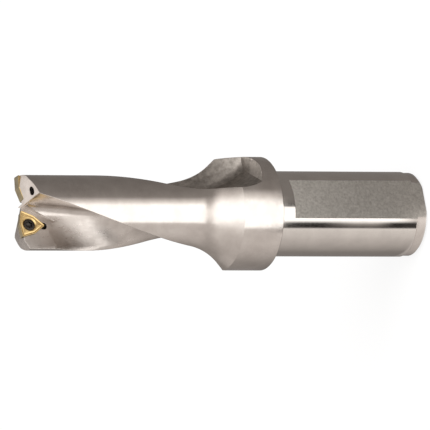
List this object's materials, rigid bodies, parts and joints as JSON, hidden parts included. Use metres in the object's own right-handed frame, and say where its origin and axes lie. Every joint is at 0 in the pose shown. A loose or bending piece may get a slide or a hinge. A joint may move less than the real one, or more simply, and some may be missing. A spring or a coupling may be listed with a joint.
{
  "type": "indexable drill",
  "caption": "Short indexable drill with a flatted straight shank, a flange, spiral chip flutes and screwed-on trigon inserts at the tip.",
  "frame": {"origin": "centre of the shank's end face, which stands on the floor", "axes": "+Z along the drill's axis towards the cutting edges, -Y out of the shank's clamping flat"},
  "size_m": [0.0426, 0.0426, 0.1614],
  "materials": {
    "body": "satin nickel plated, ground shank",
    "insert": "gold coloured coating on carbide, satin",
    "screw": "black oxide"
  },
  "bodies": {
    "root": {"drill_body": "body", "central_insert": "insert", "peripheral_insert": "insert", "insert_screws": "screw"}
  },
  "joints": []
}
